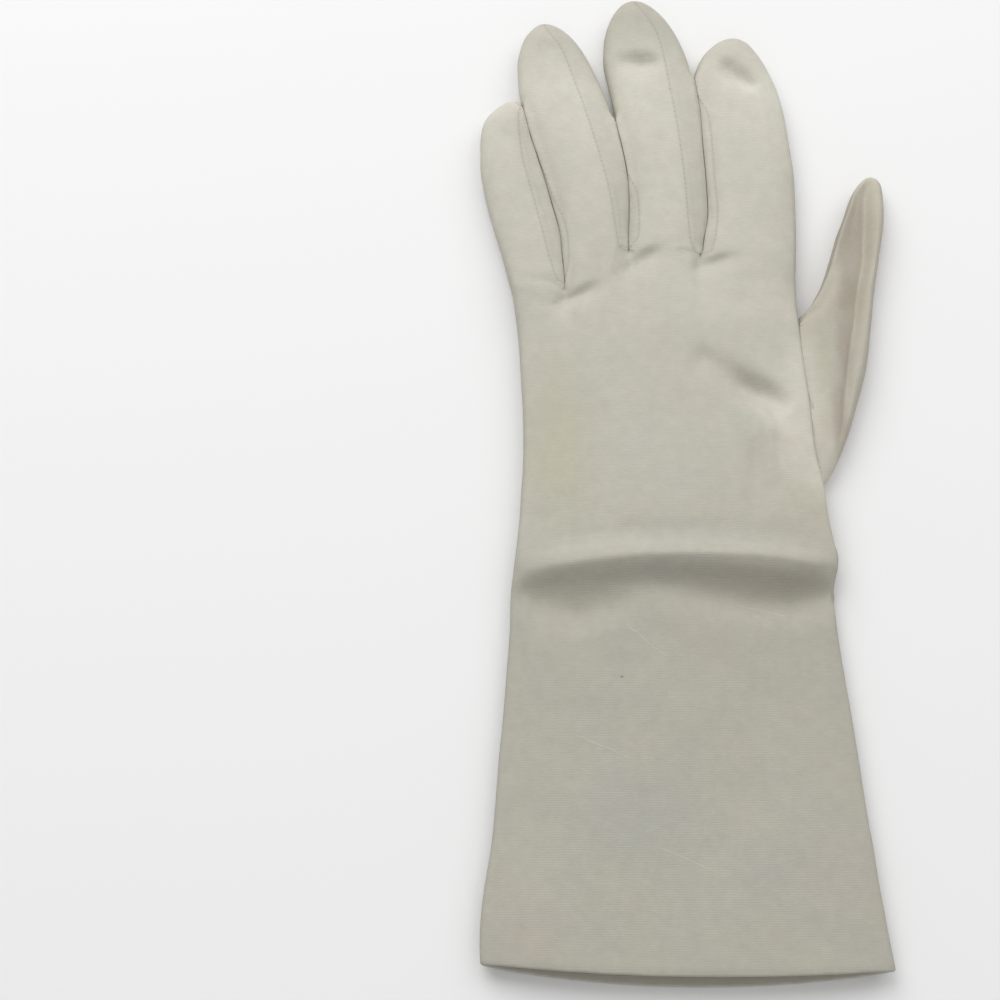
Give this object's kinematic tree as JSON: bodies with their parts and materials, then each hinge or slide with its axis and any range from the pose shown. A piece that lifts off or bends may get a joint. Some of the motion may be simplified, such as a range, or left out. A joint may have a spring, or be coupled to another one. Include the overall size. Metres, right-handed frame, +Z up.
{
  "type": "stretch glove",
  "caption": "Long knitted dress glove for the left hand, lying flat palm down, with strips sewn between the fingers, a set-in thumb, a gathered wrist and a flared cuff.",
  "frame": {"origin": "middle of the glove's bounding box, on the surface that it lies on", "axes": "+Y from the mouth toward the fingertips, +X toward the thumb, +Z up from the palm side to the back of the hand"},
  "size_m": [0.1168, 0.2846, 0.0122],
  "materials": {
    "hand_panel": "matt knitted nylon, worn and a little soiled",
    "thumb": "matt knitted nylon, worn and a little soiled",
    "fourchette_ring_little": "matt knitted nylon, worn and a little soiled",
    "fourchette_middle_ring": "matt knitted nylon, worn and a little soiled",
    "fourchette_index_middle": "matt knitted nylon, worn and a little soiled"
  },
  "bodies": {
    "root": {"hand_panel": "hand_panel", "thumb": "thumb", "fourchette_ring_little": "fourchette_ring_little", "fourchette_middle_ring": "fourchette_middle_ring", "fourchette_index_middle": "fourchette_index_middle"}
  },
  "joints": []
}
